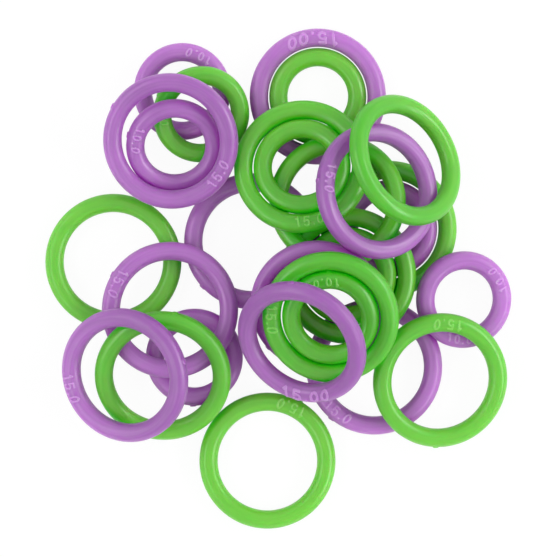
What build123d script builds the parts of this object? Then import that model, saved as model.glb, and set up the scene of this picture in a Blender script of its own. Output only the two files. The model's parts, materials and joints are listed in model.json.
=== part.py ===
from build123d import *
import math
import os
import numpy as np

# A loose set of closed ring markers in two sizes, lying in a pile.
# Lengths are millimetres, +Z is up and the table is at Z = 0.
# Each ring is one moulded piece: a bar of round section with four narrow lands.

# Driving dimensions of the rings
large_outer_diameter = 24.2
bar_diameter = 3.37
land_width = 0.90
seat_clearance = 0.22
gate_diameter = 1.10
gate_stand = 0.16

# How far apart rings lie where they touch, and where they must come apart freely
contact_clearance = 0.03
lift_clearance = 0.12

# The picture that the places are read from, scaled by its large rings
large_ring_pixels = 136.4
middle_pixel_x = 278.5
middle_pixel_y = 278.5
mm_per_pixel = large_outer_diameter / large_ring_pixels

# Sizes that follow: a small ring seats inside a large one
bar_radius = bar_diameter / 2
land_half_angle = math.asin(land_width / bar_diameter)
bar_thickness = bar_diameter * math.cos(land_half_angle)
small_outer_diameter = large_outer_diameter - 2 * (bar_thickness + seat_clearance)
CENTRE_RADIUS = {
    "large": (large_outer_diameter - bar_thickness) / 2,
    "small": (small_outer_diameter - bar_thickness) / 2,
}
radius_step = CENTRE_RADIUS["large"] - CENTRE_RADIUS["small"]
nest_rise = math.sqrt(max(0.0, (bar_diameter + contact_clearance) ** 2 - radius_step**2))

# How finely a ring is felt for, and how finely its lean is tried
ring_point_count = 144
coarse_lean_degrees = 4.0
fine_lean_degrees = 0.05
FREE = math.inf
turn = np.linspace(0.0, 2.0 * math.pi, ring_point_count, endpoint=False)

# The pile from the table up. Each row is a ring's name, its size, its centre in
# picture pixels, its lean in degrees, the compass angle of the side that stands
# high, how many degrees the lean may change as the ring settles, the compass
# angle of its gate, and the small ring seated in it with the angle of its gate.
PILE = [
    ("small_purple_1", "small", 182.0, 91.0, 0, 0, FREE, 300, None),
    ("large_purple_1", "large", 317.9, 96.1, 0, 0, FREE, 210, ("small_green_1", 215)),
    ("large_green_1", "large", 113.0, 261.8, 0, 0, FREE, 8, None),
    ("large_purple_2", "large", 252.2, 241.1, 0, 0, FREE, 220, None),
    ("large_green_2", "large", 267.4, 461.1, 0, 0, FREE, 64, None),
    ("large_purple_3", "large", 374.4, 366.7, 0, 0, FREE, 228, None),
    ("large_green_3", "large", 388.9, 228.6, 0, 0, FREE, 225, ("small_purple_2", 200)),
    ("small_purple_3", "small", 194.2, 357.3, 0, 0, FREE, 265, None),
    ("small_purple_4", "small", 463.9, 299.6, 0, 0, FREE, 205, None),
    ("small_green_2", "small", 201.2, 114.2, 14, 165, 8, 150, None),
    ("large_purple_4", "large", 170.0, 310.0, 0, 0, FREE, 151, None),
    ("large_green_4", "large", 347.9, 275.8, 0, 0, FREE, 28, ("small_green_3", 279)),
    ("large_green_5", "large", 337.4, 201.5, 0, 0, FREE, 225, None),
    ("small_purple_5", "small", 175.0, 146.2, 13, 90, 6, 161, None),
    ("large_green_6", "large", 302.0, 167.0, 13, -80, 4, 20, ("small_green_4", 20)),
    ("large_purple_5", "large", 171.0, 141.4, 19, 47, 6, 147, None),
    ("large_green_7", "large", 162.9, 375.6, 17, 85, 4, 77, None),
    ("large_green_8", "large", 440.1, 380.1, 14, 135, 4, 266, None),
    ("large_purple_6", "large", 318.5, 306.0, 15, 80, 5, 220, None),
    ("large_green_9", "large", 330.5, 317.0, 13, 80, 6, 160, ("small_green_5", 88)),
    ("large_purple_7", "large", 125.4, 374.9, 24, 23, 4, 14, None),
    ("large_purple_8", "large", 301.9, 341.6, 42, 50, 4, 84, None),
    ("large_purple_9", "large", 376.5, 191.5, 29, 180, 6, 173, None),
    ("large_green_10", "large", 404.5, 160.6, 42, 208, 5, 32, None),
]

# The rings that nothing else lies on lift off freely, so they lie a little looser
LOOSE_RINGS = {"large_green_2", "large_purple_5", "large_purple_7", "large_purple_8",
               "large_purple_9", "large_green_10"}


def ring_axes(lean, compass):
    """Return a leaning ring's two in-plane directions and its axis."""
    tilt = math.radians(lean)
    way = math.radians(compass)
    uphill = np.array([math.cos(way) * math.cos(tilt), math.sin(way) * math.cos(tilt), math.sin(tilt)])
    across = np.array([-math.sin(way), math.cos(way), 0.0])
    return uphill, across, np.cross(uphill, across)


def centre_line(size, lean, compass, points=turn):
    """Return points on the middle of the bar, about the ring's own centre."""
    uphill, across, _ = ring_axes(lean, compass)
    return CENTRE_RADIUS[size] * (np.outer(np.cos(points), uphill) + np.outer(np.sin(points), across))


def rest_height(line, lean, x, y, clearance, placed):
    """Return the lowest centre height at which this ring clears table and pile."""
    reach = bar_diameter + clearance
    table_rise = bar_radius * math.cos(max(0.0, land_half_angle - math.radians(lean)))
    height = table_rise - line[:, 2].min()
    for other in placed:
        apart = (line[:, 0, None] + x - other["line"][None, :, 0]) ** 2
        apart = apart + (line[:, 1, None] + y - other["line"][None, :, 1]) ** 2
        rise = np.sqrt(np.maximum(reach**2 - apart, 0.0))
        lift = np.where(apart < reach**2, other["line"][None, :, 2] - line[:, 2, None] + rise, 0.0)
        height = max(height, lift.max())
    return height


def settle(size, x, y, lean, compass, freedom, seated, clearance, placed):
    """Let a ring, with any ring seated in it, roll to its lowest nearby lean."""
    start = np.array([lean * math.cos(math.radians(compass)), lean * math.sin(math.radians(compass))])
    rise = np.array([0.0, 0.0, nest_rise])

    def height_at(slope):
        tilt = math.hypot(slope[0], slope[1])
        way = math.degrees(math.atan2(slope[1], slope[0]))
        height = rest_height(centre_line(size, tilt, way), tilt, x, y, clearance, placed)
        if seated:
            inner = centre_line("small", tilt, way) + rise
            height = max(height, rest_height(inner, tilt, x, y, clearance, placed))
        return height

    slope = start
    height = height_at(slope)
    step = min(coarse_lean_degrees, freedom)
    ways = [np.array([math.cos(k * math.pi / 4), math.sin(k * math.pi / 4)]) for k in range(8)]
    while step > fine_lean_degrees:
        improved = False
        for way in ways:
            trial = slope + way * step
            if math.dist(trial, start) > freedom:
                continue
            trial_height = height_at(trial)
            if trial_height < height:
                slope, height, improved = trial, trial_height, True
                break
        if not improved:
            step = step / 2
    return height, math.hypot(slope[0], slope[1]), math.degrees(math.atan2(slope[1], slope[0]))


def build_pile():
    """Return the place of every ring, laid from the table up."""
    placed = []
    for name, size, pixel_x, pixel_y, lean, compass, freedom, gate, seated in PILE:
        x = (pixel_x - middle_pixel_x) * mm_per_pixel
        y = (middle_pixel_y - pixel_y) * mm_per_pixel
        clearance = lift_clearance if name in LOOSE_RINGS else contact_clearance
        height, lean, compass = settle(size, x, y, lean, compass, freedom, seated, clearance, placed)
        axis = ring_axes(lean, compass)[2]
        rings = [(name, size, gate, np.array([x, y, height]))]
        if seated:
            rings.append((seated[0], "small", seated[1], np.array([x, y, height]) + nest_rise * axis))
        for ring_name, ring_size, ring_gate, centre in rings:
            line = centre_line(ring_size, lean, compass) + centre
            placed.append({"name": ring_name, "size": ring_size, "gate": ring_gate, "centre": centre,
                           "axis": axis, "lean": lean, "compass": compass, "line": line})
    return placed


def gap_between(first, second):
    """Return the least gap between two rings' round bars."""
    away = first["line"] - second["centre"]
    along = away @ second["axis"]
    out = np.linalg.norm(away - np.outer(along, second["axis"]), axis=1)
    return np.hypot(along, out - CENTRE_RADIUS[second["size"]]).min() - bar_diameter


def make_ring(size):
    """Return one ring about +Z, with its gate stub on +X."""
    bar = Circle(bar_radius) & Rectangle(bar_thickness, bar_thickness)
    ring = revolve(Plane.XZ * Pos(CENTRE_RADIUS[size], 0, 0) * bar, Axis.Z, 360)
    stub_length = bar_thickness / 2 + gate_stand
    stub_start = Plane(origin=(CENTRE_RADIUS[size], 0, 0), z_dir=(1, 0, 0))
    return ring + extrude(stub_start * Circle(gate_diameter / 2), stub_length)


def ring_place(ring):
    """Return the frame that carries a ring made about +Z to its place."""
    axis = ring["axis"]
    gate = math.radians(ring["gate"])
    facing = np.array([math.cos(gate), math.sin(gate), 0.0])
    facing = facing - facing.dot(axis) * axis
    return Plane(origin=tuple(ring["centre"]), x_dir=tuple(facing), z_dir=tuple(axis))


def main():
    os.makedirs("parts", exist_ok=True)
    pile = build_pile()
    patterns = {size: make_ring(size) for size in CENTRE_RADIUS}
    solids = {ring["name"]: ring_place(ring).location * patterns[ring["size"]] for ring in pile}
    boxes = [solid.bounding_box() for solid in solids.values()]
    low = np.min([tuple(box.min) for box in boxes], axis=0)
    high = np.max([tuple(box.max) for box in boxes], axis=0)
    to_origin = Pos(-(low[0] + high[0]) / 2, -(low[1] + high[1]) / 2, -low[2])
    for name, solid in solids.items():
        placed_solid = to_origin * solid
        placed_solid.label = name
        export_step(placed_solid, os.path.join("parts", name + ".step"))
    print("rings", len(solids), "pile", np.round(high - low, 2), "moved by", to_origin.position)
    for number, ring in enumerate(pile):
        others = pile[:number] + pile[number + 1:]
        gap, nearest = min((gap_between(ring, other), other["name"]) for other in others)
        print(f"{ring['name']:15s} height {ring['centre'][2]:6.2f} lean {ring['lean']:5.1f}"
              f" toward {ring['compass']:6.1f} gap {gap:5.2f} to {nearest}")


main()
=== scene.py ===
"""A loose pile of ring stitch markers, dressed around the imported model.

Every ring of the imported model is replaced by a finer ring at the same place: a round bar with four narrow
lands, a faint parting line, the stub of its gate and, on some rings, raised plain numerals. Lengths are in
metres, and angles are in radians unless a name ends in _deg.
"""

import json
import logging
import math
from dataclasses import dataclass
from enum import Enum
from typing import Dict, List, Tuple, Union

import bpy
import numpy as np
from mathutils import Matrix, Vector


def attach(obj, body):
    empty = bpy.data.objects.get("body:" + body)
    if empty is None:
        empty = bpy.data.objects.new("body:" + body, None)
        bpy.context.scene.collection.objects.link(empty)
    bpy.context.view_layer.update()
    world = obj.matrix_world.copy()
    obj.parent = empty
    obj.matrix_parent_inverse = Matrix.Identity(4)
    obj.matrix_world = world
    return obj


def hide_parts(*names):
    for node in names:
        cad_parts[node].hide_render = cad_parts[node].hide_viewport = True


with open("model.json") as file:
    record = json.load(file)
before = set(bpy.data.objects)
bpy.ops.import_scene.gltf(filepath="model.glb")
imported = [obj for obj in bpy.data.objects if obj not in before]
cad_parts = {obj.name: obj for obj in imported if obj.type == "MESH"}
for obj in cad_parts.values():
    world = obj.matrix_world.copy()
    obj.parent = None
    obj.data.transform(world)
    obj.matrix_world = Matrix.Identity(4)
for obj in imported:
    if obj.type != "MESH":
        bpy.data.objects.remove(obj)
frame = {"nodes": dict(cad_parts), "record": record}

LOG = logging.getLogger("stitch_markers")
MM = 0.001
FULL_TURN = 2 * math.pi

Colour = Tuple[float, float, float]
Span = Tuple[float, float]
Socket = bpy.types.NodeSocket
Paint = Union[Colour, Socket]

UNIT_SPAN: Span = (0.0, 1.0)
WHITE: Colour = (1.0, 1.0, 1.0)


class Plastic(Enum):
    """The two colours that the rings are moulded in, by the record's material slot."""

    PURPLE = "purple_plastic"
    GREEN = "green_plastic"


class Mark(Enum):
    """The raised numerals that a ring can carry: the needle size it is made for, in millimetres."""

    LARGE_LONG = "15.00"
    LARGE_SHORT = "15.0"
    SMALL_SHORT = "10.0"


class Side(Enum):
    """The side of the pile that a lamp hangs on, as the sign of its X."""

    LEFT = -1
    RIGHT = 1


def smooth_step(share: np.ndarray) -> np.ndarray:
    """Return a share from 0 to 1 carried onto an S-shaped curve, level at both ends."""
    return share * share * (3 - 2 * share)


def wrapped(angle: np.ndarray) -> np.ndarray:
    """Return an angle brought to within half a turn of zero."""
    return np.mod(angle + math.pi, FULL_TURN) - math.pi


def spaced(rows: List[np.ndarray], least: float) -> np.ndarray:
    """Sort rows of angles into one turn, and drop those that follow their neighbour too closely.

    Args:
        rows: the rows of angles.
        least: the angle that must lie between neighbours.

    Returns:
        The angles that are left, rising from 0.
    """
    angles = np.sort(np.mod(np.concatenate(rows), FULL_TURN))
    return angles[np.diff(angles, prepend=angles[-1] - FULL_TURN) > least]


def opaque(colour: Colour) -> Tuple[float, float, float, float]:
    """Return a colour as the four values that a colour socket holds."""
    return (*colour, 1.0)


@dataclass(frozen=True)
class RingSeat:
    """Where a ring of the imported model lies, and its size.

    Attributes:
        node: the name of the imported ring.
        centre: the ring's centre.
        axis: the ring's axis, on its upper side.
        gate_way: the direction from the centre to the gate, in the ring's plane.
        inner_radius: the radius of the needle hole.
        thickness: the bar's size across its lands.
    """

    node: str
    centre: np.ndarray
    axis: np.ndarray
    gate_way: np.ndarray
    inner_radius: float
    thickness: float

    @property
    def centre_radius(self) -> float:
        """The radius of the middle of the bar."""
        return self.inner_radius + self.thickness / 2

    @property
    def plastic(self) -> Plastic:
        """The colour that the ring's name gives."""
        return Plastic.PURPLE if "purple" in self.node else Plastic.GREEN

    def angle_of(self, compass_deg: float) -> float:
        """Return the angle round the ring, from its gate, of a compass angle in the picture.

        Args:
            compass_deg: degrees from +X towards +Y, as seen from above.

        Returns:
            The angle in radians, turning the right-hand way about the ring's axis.
        """
        way = np.array([math.cos(math.radians(compass_deg)), math.sin(math.radians(compass_deg)), 0.0])
        across = np.cross(self.axis, self.gate_way)
        return math.atan2(float(way @ across), float(way @ self.gate_way))


def read_seat(node: str) -> RingSeat:
    """Measure one packed ring.

    The centre is the mean of the triangles' middles, weighted by area. The axis is the direction in which
    those middles spread least. The gate is the point furthest from the axis.

    Args:
        node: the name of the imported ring.

    Returns:
        The ring's place and size.
    """
    mesh = frame["nodes"][node].data
    points = np.empty(len(mesh.vertices) * 3)
    mesh.vertices.foreach_get("co", points)
    points = points.reshape(-1, 3)
    mesh.calc_loop_triangles()
    corners = np.empty(len(mesh.loop_triangles) * 3, dtype=np.int64)
    mesh.loop_triangles.foreach_get("vertices", corners)
    corners = points[corners.reshape(-1, 3)]
    normals = np.cross(corners[:, 1] - corners[:, 0], corners[:, 2] - corners[:, 0])
    areas = np.linalg.norm(normals, axis=1)
    middles = corners.mean(axis=1)
    centre = np.average(middles, axis=0, weights=areas)
    spread = ((middles - centre).T * areas) @ (middles - centre)
    axis = np.linalg.eigh(spread)[1][:, 0]
    axis = axis * math.copysign(1.0, axis[2])
    along = (points - centre) @ axis
    flat = points - centre - np.outer(along, axis)
    reach = np.linalg.norm(flat, axis=1)
    gate_way = flat[reach.argmax()] / reach.max()
    return RingSeat(node, centre, axis, gate_way, float(reach.min()), float(np.ptp(along)))


@dataclass(frozen=True)
class Word:
    """Raised numerals on the upper side of a ring.

    Attributes:
        mark: the numerals.
        compass_deg: where their middle is, in degrees from +X towards +Y, as seen from above.
    """

    mark: Mark
    compass_deg: float


def oval(middle: Span, half: Span, ends_deg: Span, count: int) -> np.ndarray:
    """Return points on an oval stroke.

    Args:
        middle: the oval's middle.
        half: half of its width and half of its height.
        ends_deg: the angles of its first and last points, from its right side.
        count: how many points it has.

    Returns:
        The points, one to a row.
    """
    turn = np.linspace(math.radians(ends_deg[0]), math.radians(ends_deg[1]), count)
    return np.column_stack((middle[0] + half[0] * np.cos(turn), middle[1] + half[1] * np.sin(turn)))


@dataclass(frozen=True)
class Numerals:
    """A plain stroke face for the raised numerals.

    A numeral is a set of strokes in a cell one wide and one high. Its height over the bar falls smoothly
    from full to nothing over the edge of the stroke.

    Attributes:
        height: the height of a numeral, across the bar.
        width: the width of a numeral, along the ring.
        pitch: the distance from one numeral to the next.
        point_pitch: the length that the decimal point takes up.
        half_stroke: half of a stroke's width.
        edge: the width of the slope at a stroke's side.
        stand: how far the numerals stand out.
        painted_top_highlight: how much painted highlight the top of a stroke has.
        painted_edge_highlight: how much painted highlight the slopes at its sides add to that.
        zero_points: how many points the zero has.
        bowl_points: how many points the round part of the five has.
    """

    height: float = 1.60 * MM
    width: float = 1.02 * MM
    pitch: float = 1.62 * MM
    point_pitch: float = 0.85 * MM
    half_stroke: float = 0.14 * MM
    edge: float = 0.08 * MM
    stand: float = 0.16 * MM
    painted_top_highlight: float = 0.35
    painted_edge_highlight: float = 2.6
    zero_points: int = 25
    bowl_points: int = 13

    def strokes(self, numeral: str) -> List[np.ndarray]:
        """Return a numeral's strokes.

        Args:
            numeral: 0, 1, 5 or the decimal point.

        Returns:
            The strokes, each a row of points in the unit cell.
        """
        if numeral == "0":
            return [oval((0.5, 0.5), (0.45, 0.5), (0.0, 360.0), self.zero_points)]
        if numeral == "1":
            return [np.array([(0.25, 0.76), (0.55, 1.0), (0.55, 0.0)])]
        if numeral == "5":
            bowl = oval((0.45, 0.32), (0.45, 0.32), (150.0, -140.0), self.bowl_points)
            return [np.array([(0.86, 1.0), (0.16, 1.0), tuple(bowl[0])]), bowl]
        return [np.array([(0.5, 0.02), (0.5, 0.06)])]

    def painted_highlight(self, share: np.ndarray) -> np.ndarray:
        """Return the painted highlight on the numerals: a part of their share, and more where it is halfway
        to full.
        """
        return self.painted_top_highlight * share + self.painted_edge_highlight * share * (1 - share)

    def room(self, numeral: str) -> float:
        """Return the length that one numeral takes up along the ring."""
        return self.point_pitch if numeral == "." else self.pitch

    def length(self, mark: Mark) -> float:
        """Return the length of the numerals along the ring."""
        return sum(self.room(numeral) for numeral in mark.value)

    def relief(self, mark: Mark, along: np.ndarray, up: np.ndarray) -> np.ndarray:
        """Return how far the numerals stand out at each point, as a share of their full stand.

        The share is full within half a stroke's width of the nearest stroke's line, and falls to nothing
        over the stroke's edge.

        Args:
            mark: the numerals.
            along: distance along the ring from the middle of the numerals.
            up: distance towards the ring's centre from the middle of the bar.

        Returns:
            The share at each point, from 0 to 1.
        """
        nearest = np.full(along.shape, np.inf)
        cursor = -self.length(mark) / 2
        for numeral in mark.value:
            left = cursor + (self.room(numeral) - self.width) / 2
            for stroke in self.strokes(numeral):
                points = stroke * (self.width, self.height) + (left, -self.height / 2)
                for start, end in zip(points[:-1], points[1:]):
                    run = end - start
                    share = ((along - start[0]) * run[0] + (up - start[1]) * run[1]) / (run @ run)
                    share = np.clip(share, 0.0, 1.0)
                    away = np.hypot(along - start[0] - share * run[0], up - start[1] - share * run[1])
                    nearest = np.minimum(nearest, away)
            cursor += self.room(numeral)
        return smooth_step(np.clip((self.half_stroke + self.edge / 2 - nearest) / self.edge, 0.0, 1.0))


NUMERALS: Dict[Mark, Numerals] = {
    Mark.LARGE_LONG: Numerals(height=1.75 * MM, width=1.40 * MM, pitch=2.15 * MM, point_pitch=1.2 * MM,
                              half_stroke=0.20 * MM, edge=0.10 * MM),
    Mark.LARGE_SHORT: Numerals(),
    Mark.SMALL_SHORT: Numerals(height=1.35 * MM, width=0.85 * MM, pitch=1.45 * MM, half_stroke=0.13 * MM),
}


@dataclass(frozen=True)
class Surface:
    """A grid of points that closes on itself both ways.

    Attributes:
        points: rows by columns by three.
        relief: the painted highlight on the raised numerals at each point, from 0 to 1.
        flow: each point's place in the plastic's flow.
    """

    points: np.ndarray
    relief: np.ndarray
    flow: np.ndarray

    def mesh(self, name: str) -> bpy.types.Mesh:
        """Make a mesh of the grid, with its painted highlight, named relief, and its flow as attributes.

        Each face joins four neighbours of the grid, and the last row and column are joined to the first.

        Args:
            name: the mesh's name.

        Returns:
            The mesh, smooth, with its faces outwards.
        """
        rows, columns = self.points.shape[:2]
        index = np.arange(rows * columns).reshape(rows, columns)
        next_row = np.roll(index, -1, axis=0)
        corners = (index, next_row, np.roll(next_row, -1, axis=1), np.roll(index, -1, axis=1))
        quads = np.stack(corners, axis=-1).reshape(-1, 4)
        mesh = bpy.data.meshes.new(name)
        mesh.vertices.add(rows * columns)
        mesh.vertices.foreach_set("co", self.points.astype(np.float32).ravel())
        mesh.loops.add(quads.size)
        mesh.loops.foreach_set("vertex_index", quads.astype(np.int32).ravel())
        mesh.polygons.add(len(quads))
        mesh.polygons.foreach_set("loop_start", np.arange(0, quads.size, 4, dtype=np.int32))
        mesh.polygons.foreach_set("use_smooth", np.ones(len(quads), dtype=bool))
        mesh.update(calc_edges=True)
        mesh.validate()
        relief = mesh.attributes.new("relief", "FLOAT", "POINT")
        relief.data.foreach_set("value", self.relief.astype(np.float32).ravel())
        flow = mesh.attributes.new("flow", "FLOAT_VECTOR", "POINT")
        flow.data.foreach_set("vector", self.flow.astype(np.float32).ravel())
        return mesh


@dataclass(frozen=True)
class RingMould:
    """The form that every ring is moulded in.

    The bar's radius at an angle round its section is the smooth least of a circle and the four lands that
    touch it: the powers of their reciprocals are added, and the root is taken. The parting line and the
    gate's stub are added to that radius, and a slow waver is taken from it.

    Attributes:
        bar_radius: the radius of the bar's round.
        blend_power: how sharply the round turns into the lands.
        parting_stand: how far the parting line stands out.
        parting_half_width_deg: half of the line's width, as an angle round the bar.
        parting_columns: where the grid has columns across the line, in half widths from its middle.
        gate_radius: the radius of the gate's stub.
        gate_edge: the width of the slope at the stub's side.
        gate_stand: how far the stub stands out.
        gate_tear: how much the stub's top rises to one side and falls to the other, as a share.
        gate_reach: how far round the bar the stub's columns go, in stub radii.
        gate_columns: how many columns the stub has.
        waver: how much thinner the bar is in the mean.
        waver_share: how much each wave adds to the waver and takes from it, as a share.
        waves: how many waves of each kind there are round the ring.
        phase_count: how many random angles set a ring apart from the others.
        flow_radius: the radius of the circle that the flow makes once round the ring.
        flow_shift: how far one random radian shifts a ring's flow from the others.
        turn_count: how many even rows there are round the ring.
        section_count: how many even columns there are round the bar.
        word_step: the distance between the rows and columns under numerals.
        word_reach: how far across the bar those columns go, as a share of the numerals' angle.
        rows_per_step: how many rows may lie within one word_step.
        columns_per_step: how many columns may lie within one word_step.
    """

    bar_radius: float = 1.685 * MM
    blend_power: float = 60.0
    parting_stand: float = 0.022 * MM
    parting_half_width_deg: float = 2.2
    parting_columns: Tuple[float, ...] = (-1.5, -0.75, 0.75, 1.5)
    gate_radius: float = 0.55 * MM
    gate_edge: float = 0.16 * MM
    gate_stand: float = 0.16 * MM
    gate_tear: float = 0.25
    gate_reach: float = 1.4
    gate_columns: int = 17
    waver: float = 0.010 * MM
    waver_share: float = 0.5
    waves: Tuple[int, int] = (2, 3)
    phase_count: int = 3
    flow_radius: float = 0.5 * MM
    flow_shift: float = 20.0 * MM
    turn_count: int = 216
    section_count: int = 44
    word_step: float = 0.075 * MM
    word_reach: float = 1.25
    rows_per_step: int = 2
    columns_per_step: int = 3

    def turns(self, seat: RingSeat, words: Tuple[Word, ...]) -> np.ndarray:
        """Return the angles round the ring, closer together at the gate and along the numerals.

        Args:
            seat: the ring's place and size.
            words: the numerals that the ring carries.

        Returns:
            The angles from the gate, rising.
        """
        step = self.word_step / seat.centre_radius
        rows = [np.linspace(0.0, FULL_TURN, self.turn_count, endpoint=False)]
        gate_half = (self.gate_radius + self.gate_edge) / seat.centre_radius
        rows.append(np.arange(-gate_half, gate_half, step))
        for word in words:
            middle = seat.angle_of(word.compass_deg)
            half = NUMERALS[word.mark].length(word.mark) / seat.centre_radius / 2
            rows.append(np.arange(middle - half, middle + half, step))
        return spaced(rows, step / self.rows_per_step)

    def section_angles(self, words: Tuple[Word, ...]) -> np.ndarray:
        """Return the angles round the bar, closer together at the parting line, the gate and numerals.

        Args:
            words: the numerals that the ring carries.

        Returns:
            The angles from the bar's outer side, rising.
        """
        columns = [np.linspace(0.0, FULL_TURN, self.section_count, endpoint=False)]
        parting = np.array(self.parting_columns) * math.radians(self.parting_half_width_deg)
        columns += [side + parting for side in (0.0, math.pi)]
        stub = self.gate_radius / self.bar_radius * self.gate_reach
        columns.append(np.linspace(-stub, stub, self.gate_columns))
        if words:
            tallest = max(NUMERALS[word.mark].height for word in words)
            face = math.asin(min(1.0, tallest / 2 / self.bar_radius)) * self.word_reach
            count = int(2 * face * self.bar_radius / self.word_step)
            columns.append(np.linspace(math.pi / 2 - face, math.pi / 2 + face, count))
        return spaced(columns, self.word_step / self.bar_radius / self.columns_per_step)

    def plain_radius(self, seat: RingSeat, section: np.ndarray) -> np.ndarray:
        """Return the bar's radius with its lands and its parting line.

        A land's distance over the cosine or the sine of the angle is the radius at which it is met. The line
        is a ridge that falls evenly to its sides, on the bar's outer and inner side.

        Args:
            seat: the ring's place and size.
            section: angles round the bar.

        Returns:
            The radius at each angle.
        """
        land = seat.thickness / 2
        power = self.blend_power
        total = (np.abs(np.cos(section)) / land) ** power + (np.abs(np.sin(section)) / land) ** power
        radius = (total + self.bar_radius**-power) ** (-1 / power)
        from_line = np.abs(np.sin(section)) / math.sin(math.radians(self.parting_half_width_deg))
        return radius + self.parting_stand * np.clip(1 - from_line, 0.0, 1.0)

    def gate_relief(self, seat: RingSeat, turn: np.ndarray, section: np.ndarray) -> np.ndarray:
        """Return how far the gate's stub stands out, a round spot on the bar's outer side at turn 0.

        It is full within the stub's radius and falls to nothing over its edge, and its top slopes along the
        ring.

        Args:
            seat: the ring's place and size.
            turn: angles round the ring, as a column.
            section: angles round the bar, as a row.

        Returns:
            The distance at each point.
        """
        along = wrapped(turn) * (seat.centre_radius + self.bar_radius)
        away = np.hypot(along, wrapped(section) * self.bar_radius)
        share = np.clip((self.gate_radius + self.gate_edge / 2 - away) / self.gate_edge, 0.0, 1.0)
        torn = 1 - self.gate_tear * np.clip(along / self.gate_radius, -1.0, 1.0)
        return self.gate_stand * smooth_step(share) * torn

    def thinning(self, turn: np.ndarray, section: np.ndarray, phase: np.ndarray) -> np.ndarray:
        """Return how much thinner the bar is.

        It is a mean, a sine wave round the ring, and a quicker one that shifts to and fro round the bar.

        Args:
            turn: angles round the ring, as a column.
            section: angles round the bar, as a row.
            phase: the ring's own random angles.

        Returns:
            The distance at each point.
        """
        slow, quick = self.waves
        waver = np.sin(slow * turn + phase[0]) + np.sin(quick * turn + phase[1] + np.cos(section + phase[2]))
        return self.waver * (1 + self.waver_share * waver)

    def flow(self, turn: np.ndarray, section: np.ndarray, phase: np.ndarray) -> np.ndarray:
        """Return the place of each point in the plastic's flow.

        It changes quickly round the bar and slowly along it, so that a noise on it makes long streaks. Along
        the bar it goes once round a small circle, so that the streaks close on themselves.

        Args:
            turn: angles round the ring, as a column.
            section: angles round the bar, as a row.
            phase: the ring's own random angles, which set it apart from the others.

        Returns:
            The places, turn by section by three.
        """
        here = self.bar_radius * np.cos(section) + self.flow_radius * np.cos(turn)
        up = self.bar_radius * np.sin(section) + 0 * turn
        slow = self.flow_radius * np.sin(turn) + 0 * section
        return np.stack((here, up, slow), axis=-1) + self.flow_shift * phase

    def surface(self, seat: RingSeat, words: Tuple[Word, ...], seed: int) -> Surface:
        """Return the ring's surface on a grid of turn by section angle.

        The bar's radius, times the cosine of the section angle, carries a point outwards from the middle of
        the bar, and times the sine it carries the point up along the ring's axis.

        Args:
            seat: the ring's place and size.
            words: the numerals that the ring carries.
            seed: which ring this is, for its own slight unevenness.

        Returns:
            The surface.
        """
        turn = self.turns(seat, words)[:, None]
        section = self.section_angles(words)[None, :]
        phase = np.random.default_rng(seed).uniform(0, FULL_TURN, self.phase_count)
        radius = self.plain_radius(seat, section) + self.gate_relief(seat, turn, section)
        radius = radius - self.thinning(turn, section, phase)
        # Painted highlight: the numerals' strokes are painted paler, most at their edges, and kept for the
        # material.
        painted_highlight = np.zeros(radius.shape)
        outward = radius * np.cos(section)
        for word in words:
            numerals = NUMERALS[word.mark]
            along = wrapped(turn - seat.angle_of(word.compass_deg))
            share = numerals.relief(word.mark, along * (seat.centre_radius + outward), -outward)
            share = np.where(np.sin(section) > 0, share, 0.0)
            radius = radius + numerals.stand * share
            painted_highlight = np.maximum(painted_highlight, numerals.painted_highlight(share))
        across = np.cross(seat.axis, seat.gate_way)
        way = np.cos(turn)[..., None] * seat.gate_way + np.sin(turn)[..., None] * across
        out = (seat.centre_radius + radius * np.cos(section))[..., None] * way
        rise = (radius * np.sin(section))[..., None] * seat.axis
        return Surface(seat.centre + out + rise, painted_highlight, self.flow(turn, section, phase))


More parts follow.
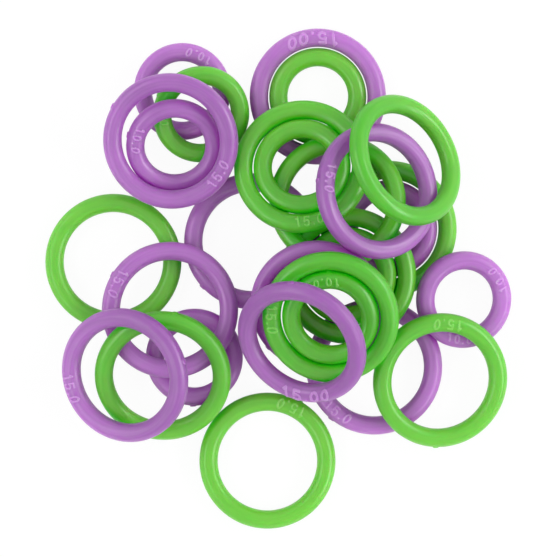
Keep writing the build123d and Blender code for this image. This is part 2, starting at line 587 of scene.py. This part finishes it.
class NodeTree:
    """A short way to write the nodes of a material or of the world's light."""

    def __init__(self, owner: Union[bpy.types.Material, bpy.types.World]) -> None:
        """Clear the owner's nodes, to start from none."""
        owner.use_nodes = True
        self.owner = owner
        self.tree = owner.node_tree
        self.tree.nodes.clear()

    def add(self, kind: str, **values: object) -> bpy.types.Node:
        """Add a node.

        Args:
            kind: the node's type.
            **values: the properties to set on it.

        Returns:
            The node.
        """
        node = self.tree.nodes.new(kind)
        for key, value in values.items():
            setattr(node, key, value)
        return node

    def link(self, source: Socket, target: Socket) -> None:
        """Join two sockets."""
        self.tree.links.new(source, target)

    def noise(self, scale: float, detail: float, coordinates: Socket) -> Socket:
        """Add a noise.

        Args:
            scale: how many cells it has to the metre.
            detail: how many finer layers it has.
            coordinates: what it lies on.

        Returns:
            Its value.
        """
        node = self.add("ShaderNodeTexNoise")
        node.inputs["Scale"].default_value = scale
        node.inputs["Detail"].default_value = detail
        self.link(coordinates, node.inputs["Vector"])
        return node.outputs["Fac"]

    def total(self, first: Socket, second: Socket) -> Socket:
        """Add two values.

        Args:
            first: one value.
            second: the other value.

        Returns:
            Their sum.
        """
        node = self.add("ShaderNodeMath", operation="ADD")
        self.link(first, node.inputs[0])
        self.link(second, node.inputs[1])
        return node.outputs["Value"]

    def map_range(self, value: Socket, source: Span, target: Span = UNIT_SPAN) -> Socket:
        """Carry a value from one span to another, held at its ends.

        Args:
            value: the value.
            source: the span that it comes from.
            target: the span that it goes to.

        Returns:
            The value carried over.
        """
        node = self.add("ShaderNodeMapRange")
        node.inputs["From Min"].default_value, node.inputs["From Max"].default_value = source
        node.inputs["To Min"].default_value, node.inputs["To Max"].default_value = target
        self.link(value, node.inputs["Value"])
        return node.outputs["Result"]

    def mix(self, share: Socket, first: Paint, second: Paint) -> Socket:
        """Mix two colours, each a plain one or a socket.

        Args:
            share: how much of the second there is, held between 0 and 1.
            first: the colour at 0.
            second: the colour at 1.

        Returns:
            The mixture.
        """
        node = self.add("ShaderNodeMix", data_type="RGBA")
        self.link(share, node.inputs["Factor"])
        for colour, target in ((first, node.inputs["A"]), (second, node.inputs["B"])):
            if isinstance(colour, tuple):
                target.default_value = opaque(colour)
            else:
                self.link(colour, target)
        return node.outputs["Result"]

    def mix_shaders(self, share: Socket, first: Socket, second: Socket) -> Socket:
        """Mix two shaders.

        Args:
            share: how much of the second there is.
            first: the shader at 0.
            second: the shader at 1.

        Returns:
            The mixture.
        """
        node = self.add("ShaderNodeMixShader")
        self.link(share, node.inputs["Fac"])
        self.link(first, node.inputs[1])
        self.link(second, node.inputs[2])
        return node.outputs["Shader"]

    def bump(self, height: Socket, strength: float, distance: float) -> bpy.types.Node:
        """Add a bump.

        Args:
            height: its height, as a share of the distance.
            strength: how much of it shows.
            distance: its full height.

        Returns:
            Its node.
        """
        node = self.add("ShaderNodeBump")
        node.inputs["Strength"].default_value = strength
        node.inputs["Distance"].default_value = distance
        self.link(height, node.inputs["Height"])
        return node


@dataclass(frozen=True)
class SatinPlastic:
    """A satin, slightly see-through moulded plastic.

    The colour is painted by height: a ring that lies low is painted paler, a painted glow of the pale
    table's light coming up through the bar, and one that lies high on others is fuller in colour. Where
    other rings hem a surface in, a deeper, fuller colour is painted in, as painted crevice light. The
    plastic flowed along the bar, and has left fine streaks there that differ a little in colour, in height
    and in gloss. Raised edges are painted paler, as a painted highlight.

    Attributes:
        name: the material's name.
        pale: the painted glow colour next to the table.
        full: the colour up the pile.
        deep: the painted crevice light colour, where other rings hem the surface in.
        edge: the painted highlight colour of raised edges.
        depth: how far red, green and blue light travel inside, as shares of depth_scale.
        depth_scale: the distance that those shares are of.
        painted_glow_heights: the heights from the painted glow colour to the full one.
        painted_table_glow: how much of the painted crevice light the painted table glow takes away next to
            the table.
        crevice_light_reach: how near another surface must be to hem this one in, for the painted crevice
            light.
        crevice_light_rays: how many rays feel for one.
        crevice_light_span: the shares of open sky from the painted crevice light colour to the plain one.
        drift_scale: the cells to the metre of a slow drift in colour.
        drift_detail: the drift's finer layers.
        drift_span: the least and the most that the drift and a streak come to together.
        drift_share: how far they shift the colour between pale and full.
        painted_highlight_share: how much of the painted highlight colour a raised edge has.
        roughness: the plastic's mean roughness.
        gloss_spread: how much rougher and smoother than its mean the plastic is.
        specular: how much light its surface sends back.
        refraction: its refractive index.
        streak_scale: the streaks' cells to the metre.
        streak_detail: the streaks' finer layers.
        streak_span: the streaks' least and greatest values.
        streak_height: how high the streaks stand.
        streak_strength: how much of that height shows.
        grain_scale: the cells to the metre of the satin grain.
        grain_detail: the grain's finer layers.
        grain_height: how high the grain stands.
        grain_strength: how much of that height shows.
    """

    name: str
    pale: Colour
    full: Colour
    deep: Colour
    edge: Colour
    depth: Colour
    depth_scale: float = 1.4 * MM
    painted_glow_heights: Span = (2.0 * MM, 15.0 * MM)
    painted_table_glow: float = 0.25
    crevice_light_reach: float = 6.0 * MM
    crevice_light_rays: int = 8
    crevice_light_span: Span = (0.20, 0.70)
    drift_scale: float = 130.0
    drift_detail: float = 3.0
    drift_span: Span = (0.7, 1.3)
    drift_share: float = 0.22
    painted_highlight_share: float = 0.85
    roughness: float = 0.37
    gloss_spread: float = 0.09
    specular: float = 0.68
    refraction: float = 1.49
    streak_scale: float = 2400.0
    streak_detail: float = 1.0
    streak_span: Span = (0.3, 0.7)
    streak_height: float = 0.04 * MM
    streak_strength: float = 1.0
    grain_scale: float = 9000.0
    grain_detail: float = 2.0
    grain_height: float = 0.02 * MM
    grain_strength: float = 0.08

    def colour(self, tree: NodeTree, place: Socket, streak: Socket) -> Socket:
        """Add the nodes of the colour, with its painted table glow, painted crevice light and painted
        highlight.

        Args:
            tree: the material's nodes.
            place: the coordinates of the slow drift.
            streak: the streaks' noise.

        Returns:
            The colour's socket.
        """
        split = tree.add("ShaderNodeSeparateXYZ")
        tree.link(place, split.inputs["Vector"])
        height = split.outputs["Z"]
        both = tree.total(tree.noise(self.drift_scale, self.drift_detail, place), streak)
        drift = tree.map_range(both, self.drift_span, (-self.drift_share, self.drift_share))
        # Painted table glow: the colour is painted paler the nearer the surface lies to the table, fuller up
        # the pile.
        raised = tree.map_range(height, self.painted_glow_heights)
        surface = tree.mix(tree.total(raised, drift), self.pale, self.full)
        # Painted crevice light: where other rings hem the surface in, a deeper, fuller colour is painted in;
        # the painted table glow takes it away next to the table.
        crevice_occlusion = tree.add("ShaderNodeAmbientOcclusion", samples=self.crevice_light_rays)
        crevice_occlusion.inputs["Distance"].default_value = self.crevice_light_reach
        openness = tree.map_range(crevice_occlusion.outputs["AO"], self.crevice_light_span)
        glow = tree.map_range(height, self.painted_glow_heights, (self.painted_table_glow, 0.0))
        painted_light_colour = tree.mix(tree.total(openness, glow), self.deep, surface)
        # Painted highlight: raised edges are painted towards the edge colour, read from the relief
        # attribute.
        relief = tree.add("ShaderNodeAttribute", attribute_name="relief").outputs["Fac"]
        return tree.mix(tree.map_range(relief, UNIT_SPAN, (0.0, self.painted_highlight_share)), painted_light_colour, self.edge)

    def build(self) -> bpy.types.Material:
        """Make the material.

        Returns:
            The material.
        """
        tree = NodeTree(bpy.data.materials.new(self.name))
        place = tree.add("ShaderNodeTexCoord").outputs["Object"]
        flow = tree.add("ShaderNodeAttribute", attribute_name="flow").outputs["Vector"]
        streak = tree.noise(self.streak_scale, self.streak_detail, flow)
        shader = tree.add("ShaderNodeBsdfPrincipled")
        tree.link(self.colour(tree, place, streak), shader.inputs["Base Color"])
        shader.inputs["IOR"].default_value = self.refraction
        shader.inputs["Specular IOR Level"].default_value = self.specular
        shader.inputs["Subsurface Weight"].default_value = 1.0
        shader.inputs["Subsurface Radius"].default_value = self.depth
        shader.inputs["Subsurface Scale"].default_value = self.depth_scale
        gloss = (self.roughness - self.gloss_spread, self.roughness + self.gloss_spread)
        tree.link(tree.map_range(streak, self.streak_span, gloss), shader.inputs["Roughness"])
        streaks = tree.bump(streak, self.streak_strength, self.streak_height)
        grain_value = tree.noise(self.grain_scale, self.grain_detail, place)
        grain = tree.bump(grain_value, self.grain_strength, self.grain_height)
        tree.link(streaks.outputs["Normal"], grain.inputs["Normal"])
        tree.link(grain.outputs["Normal"], shader.inputs["Normal"])
        output = tree.add("ShaderNodeOutputMaterial")
        tree.link(shader.outputs["BSDF"], output.inputs["Surface"])
        return tree.owner


# The pale colour is a painted glow of table light, deep is painted crevice light, and edge is a painted
# highlight on raised edges.
FINISHES: Dict[Plastic, SatinPlastic] = {
    Plastic.PURPLE: SatinPlastic(
        name="purple_plastic",
        pale=(0.405, 0.163, 0.478),
        full=(0.262, 0.090, 0.325),
        deep=(0.46, 0.062, 0.52),
        edge=(0.58, 0.36, 0.66),
        depth=(2.6, 0.8, 2.8),
    ),
    Plastic.GREEN: SatinPlastic(
        name="green_plastic",
        pale=(0.140, 0.452, 0.024),
        full=(0.068, 0.372, 0.006),
        deep=(0.006, 0.68, 0.002),
        edge=(0.30, 0.60, 0.16),
        depth=(0.6, 3.2, 0.4),
    ),
}

WORDS: Dict[str, Tuple[Word, ...]] = {
    "small_purple_1": (Word(Mark.SMALL_SHORT, 65),),
    "small_green_2": (Word(Mark.SMALL_SHORT, 173),),
    "small_purple_5": (Word(Mark.SMALL_SHORT, 166),),
    "large_purple_5": (Word(Mark.LARGE_SHORT, 327),),
    "large_purple_4": (Word(Mark.LARGE_SHORT, 153),),
    "large_purple_7": (Word(Mark.LARGE_SHORT, 196),),
    "large_purple_1": (Word(Mark.LARGE_LONG, 95),),
    "large_green_6": (Word(Mark.LARGE_SHORT, 279),),
    "large_purple_9": (Word(Mark.LARGE_SHORT, 172),),
    "small_purple_4": (Word(Mark.SMALL_SHORT, 31), Word(Mark.SMALL_SHORT, 262)),
    "large_green_8": (Word(Mark.LARGE_SHORT, 86),),
    "large_purple_3": (Word(Mark.LARGE_SHORT, 231),),
    "large_purple_8": (Word(Mark.LARGE_LONG, 264),),
    "large_green_9": (Word(Mark.LARGE_SHORT, 181),),
    "small_green_5": (Word(Mark.SMALL_SHORT, 94),),
    "large_green_2": (Word(Mark.LARGE_SHORT, 66),),
}


@dataclass(frozen=True)
class RingPile:
    """All the rings of the pile.

    Attributes:
        mould: the form that they are moulded in.
    """

    mould: RingMould = RingMould()

    def ring(self, seat: RingSeat, seed: int) -> bpy.types.Object:
        """Make one ring.

        Args:
            seat: the ring's place and size.
            seed: which ring this is, for its own slight unevenness.

        Returns:
            The ring's object.
        """
        surface = self.mould.surface(seat, WORDS.get(seat.node, ()), seed)
        name = seat.node + "_ring"
        ring = bpy.data.objects.new(name, surface.mesh(name))
        bpy.context.scene.collection.objects.link(ring)
        return ring

    def build(self) -> List[bpy.types.Object]:
        """Make, finish and place every ring.

        Returns:
            The rings' objects.
        """
        groups = frame["record"]["behaviour"]["bodies"]
        bodies = {node: body for body, nodes in groups.items() for node in nodes}
        materials = {plastic: finish.build() for plastic, finish in FINISHES.items()}
        rings = []
        for seed, node in enumerate(sorted(frame["nodes"])):
            seat = read_seat(node)
            ring = self.ring(seat, seed)
            ring.data.materials.append(materials[seat.plastic])
            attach(ring, bodies[seat.node])
            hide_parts(seat.node)
            rings.append(ring)
        return rings


@dataclass(frozen=True)
class FloorPaper:
    """White paper, nearly pure white to the camera, yet keeping the pile's shadow.

    Attributes:
        shade: how much light the paper sends back.
        glow: the share of pure white in what the camera sees of it.
    """

    shade: float = 0.92
    glow: float = 0.94

    def build(self) -> bpy.types.Material:
        """Make the material.

        Returns:
            The material.
        """
        tree = NodeTree(bpy.data.materials.new("floor_paper"))
        paper = tree.add("ShaderNodeBsdfDiffuse")
        paper.inputs["Color"].default_value = opaque((self.shade, self.shade, self.shade))
        white = tree.add("ShaderNodeEmission")
        white.inputs["Strength"].default_value = 1.0
        rays = tree.add("ShaderNodeLightPath")
        share = tree.add("ShaderNodeMath", operation="MULTIPLY")
        share.inputs[1].default_value = self.glow
        tree.link(rays.outputs["Is Camera Ray"], share.inputs[0])
        seen = tree.mix_shaders(share.outputs["Value"], paper.outputs["BSDF"], white.outputs["Emission"])
        output = tree.add("ShaderNodeOutputMaterial")
        tree.link(seen, output.inputs["Surface"])
        return tree.owner


@dataclass(frozen=True)
class Lamp:
    """A long soft lamp beside the pile, turned towards it.

    Attributes:
        name: the lamp's name.
        side: the side that it hangs on.
        tilt_deg: its angle from straight above.
        power: its power in watts.
        reach: how far it is from the pile.
        width: its size in the direction that it tilts.
        length: its size along Y.
    """

    name: str
    side: Side
    tilt_deg: float
    power: float
    reach: float = 0.9
    width: float = 0.18
    length: float = 1.1

    def build(self) -> bpy.types.Object:
        """Hang the lamp.

        Returns:
            The lamp.
        """
        light = bpy.data.lights.new(self.name, "AREA")
        light.shape = "RECTANGLE"
        light.size = self.width
        light.size_y = self.length
        light.energy = self.power
        lamp = bpy.data.objects.new(self.name, light)
        tilt = self.side.value * math.radians(self.tilt_deg)
        lamp.location = Vector((math.sin(tilt), 0.0, math.cos(tilt))) * self.reach
        lamp.rotation_euler = (0.0, tilt, 0.0)
        bpy.context.scene.collection.objects.link(lamp)
        return lamp


@dataclass(frozen=True)
class Studio:
    """The pale floor, the soft light and the camera straight above.

    Attributes:
        camera_height: how far the camera is above the floor.
        camera_reach: how far the camera sees.
        view_width: the width that the picture covers at view_level.
        view_level: the height of the pile's middle.
        middle: the picture's middle, from the pile's.
        floor_size: the floor's width and length.
        floor_paper: the floor's finish.
        sky_strength: how bright the light from all round is.
        lamps: the lamps.
    """

    camera_height: float = 1.6
    camera_reach: float = 10.0
    view_width: float = 98.83 * MM
    view_level: float = 5.0 * MM
    middle: Span = (0.021 * MM, 0.018 * MM)
    floor_size: float = 8.0
    floor_paper: FloorPaper = FloorPaper()
    sky_strength: float = 0.90
    lamps: Tuple[Lamp, ...] = (
        Lamp("left_lamp", Side.LEFT, tilt_deg=44.0, power=2.8),
        Lamp("right_lamp", Side.RIGHT, tilt_deg=57.0, power=5.0),
    )

    def camera(self) -> bpy.types.Object:
        """Set the camera straight above, framed as the picture is.

        Returns:
            The camera.
        """
        data = bpy.data.cameras.new("camera")
        data.lens = data.sensor_width * (self.camera_height - self.view_level) / self.view_width
        data.clip_end = self.camera_reach
        camera = bpy.data.objects.new("camera", data)
        camera.location = (*self.middle, self.camera_height)
        bpy.context.scene.collection.objects.link(camera)
        bpy.context.scene.camera = camera
        return camera

    def floor(self) -> bpy.types.Object:
        """Lay the floor.

        Returns:
            The floor.
        """
        half = self.floor_size / 2
        corners = [(-half, -half, 0), (half, -half, 0), (half, half, 0), (-half, half, 0)]
        mesh = bpy.data.meshes.new("floor")
        mesh.from_pydata(corners, [], [(0, 1, 2, 3)])
        mesh.materials.append(self.floor_paper.build())
        floor = bpy.data.objects.new("floor", mesh)
        bpy.context.scene.collection.objects.link(floor)
        return floor

    def sky(self) -> None:
        """Set an even pale light from all round, plain white to the camera."""
        tree = NodeTree(bpy.data.worlds.new("studio"))
        light = tree.add("ShaderNodeBackground")
        light.inputs["Color"].default_value = opaque(WHITE)
        light.inputs["Strength"].default_value = self.sky_strength
        white = tree.add("ShaderNodeBackground")
        white.inputs["Color"].default_value = opaque(WHITE)
        rays = tree.add("ShaderNodeLightPath")
        seen = tree.mix_shaders(
            rays.outputs["Is Camera Ray"], light.outputs["Background"], white.outputs["Background"])
        output = tree.add("ShaderNodeOutputWorld")
        tree.link(seen, output.inputs["Surface"])
        bpy.context.scene.world = tree.owner

    def build(self) -> None:
        """Set up the whole studio."""
        self.camera()
        self.floor()
        self.sky()
        for lamp in self.lamps:
            lamp.build()
        bpy.context.scene.view_settings.view_transform = "Standard"


def main() -> None:
    """Build the scene."""
    logging.basicConfig(level=logging.INFO, format="%(message)s")
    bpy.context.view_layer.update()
    Studio().build()
    for ring in RingPile().build():
        LOG.info("%s: %d faces", ring.name, len(ring.data.polygons))


if __name__ == "__main__":
    main()
